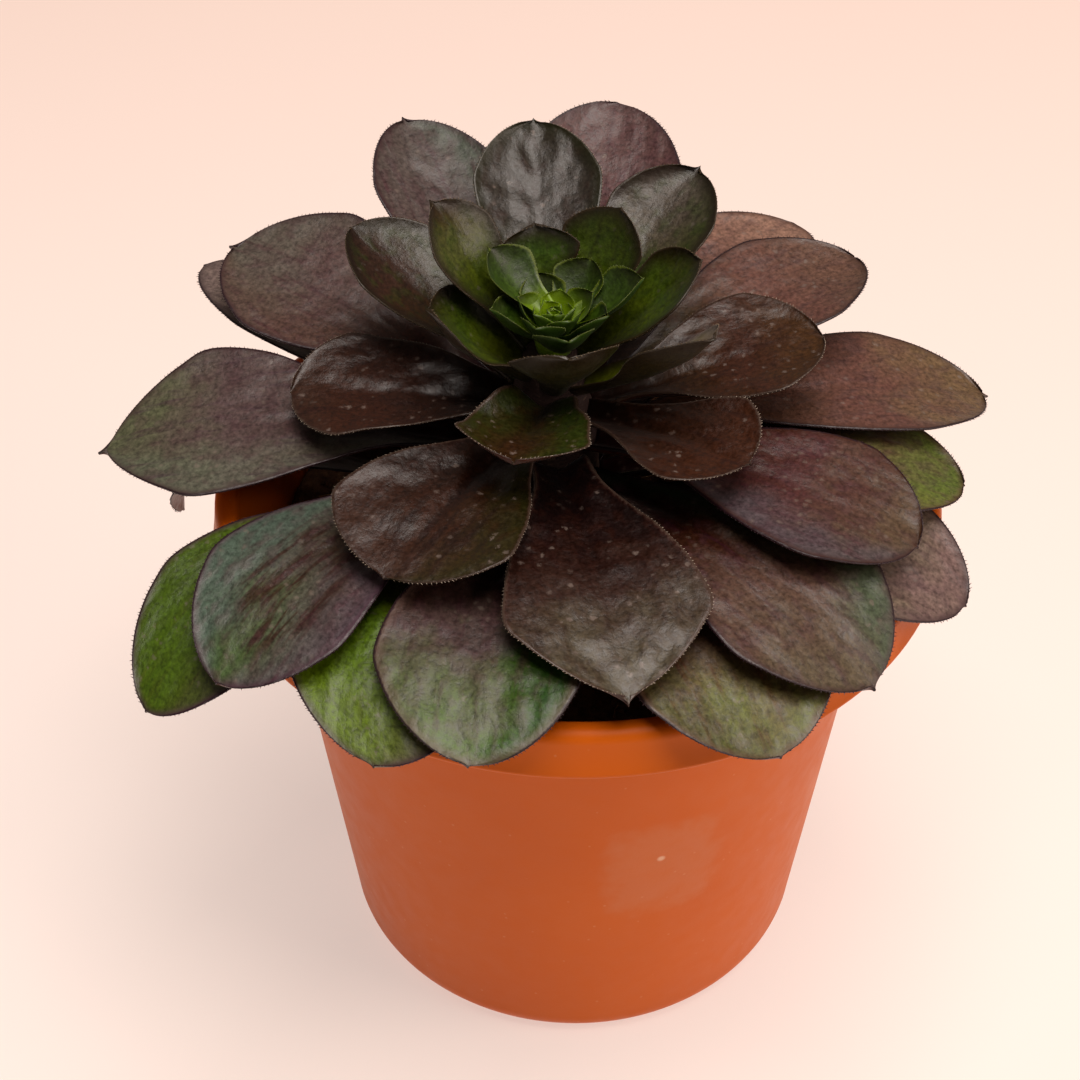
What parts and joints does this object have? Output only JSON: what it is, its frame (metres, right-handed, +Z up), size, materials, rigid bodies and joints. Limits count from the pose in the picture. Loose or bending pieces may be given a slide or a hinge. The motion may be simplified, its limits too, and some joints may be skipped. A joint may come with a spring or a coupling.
{
  "type": "potted semponium",
  "caption": "Dark rosette succulent with broad spoon-shaped leaves round a green heart, on a short stem in a tapered plastic nursery pot with a skirted lip.",
  "frame": {"origin": "centre of the pot's flat base, on the surface it stands on", "axes": "+Z up along the pot's axis; -Y towards the front of the plant; +X to its right"},
  "size_m": [0.1576, 0.1458, 0.1521],
  "materials": {
    "terracotta_plastic": "satin moulded polypropylene, terracotta colour",
    "peat_soil": "dark loose peat with pale fibres",
    "corky_stem": "matt corky bark with leaf scars",
    "leaf_outer": "waxy leaf, grey-purple with green ends",
    "leaf_green": "waxy leaf, yellow-green with a purple margin",
    "leaf_ageing": "withering leaf, brownish pink",
    "leaf_rosy": "waxy leaf, rosy purple-brown",
    "leaf_dark": "glossy leaf, dark maroon-brown",
    "leaf_inner": "glossy leaf, dark green with blackish ends",
    "leaf_heart": "glossy young leaf, bright green"
  },
  "bodies": {
    "root": {"pot": "terracotta_plastic", "soil": "peat_soil", "stem": "corky_stem", "heart": "leaf_heart", "leaf_hanging_left": "leaf_ageing", "leaf_hidden_back_right": "leaf_outer", "leaf_low_left_green": "leaf_green", "leaf_low_front_green": "leaf_green", "leaf_low_right": "leaf_outer", "leaf_hidden_back_left": "leaf_outer", "leaf_low_back_left": "leaf_outer", "leaf_front_right": "leaf_outer", "leaf_front_left": "leaf_outer", "leaf_right": "leaf_outer", "leaf_hidden_back": "leaf_outer", "leaf_left_front": "leaf_outer", "leaf_right_front": "leaf_outer", "leaf_back_right": "leaf_rosy", "leaf_left": "leaf_outer", "leaf_right_upper": "leaf_rosy", "leaf_hidden_back_upper": "leaf_outer", "leaf_front": "leaf_dark", "leaf_right_middle": "leaf_outer", "leaf_left_back": "leaf_outer", "leaf_back_right_upper": "leaf_rosy", "leaf_back": "leaf_outer", "leaf_back_left_upper": "leaf_outer", "leaf_dark_left_front": "leaf_dark", "leaf_dark_right": "leaf_dark", "leaf_dark_left": "leaf_dark", "leaf_dark_right_front": "leaf_dark", "leaf_back_inner": "leaf_dark", "leaf_inner_left": "leaf_inner", "leaf_inner_back_right": "leaf_inner", "leaf_dark_front": "leaf_dark", "leaf_cup_right_front": "leaf_inner", "leaf_cup_right": "leaf_inner", "leaf_cup_front": "leaf_inner", "leaf_cup_left": "leaf_inner", "leaf_cup_back_left": "leaf_inner", "leaf_cup_back_right": "leaf_inner", "leaf_cup_back": "leaf_inner"}
  },
  "joints": []
}
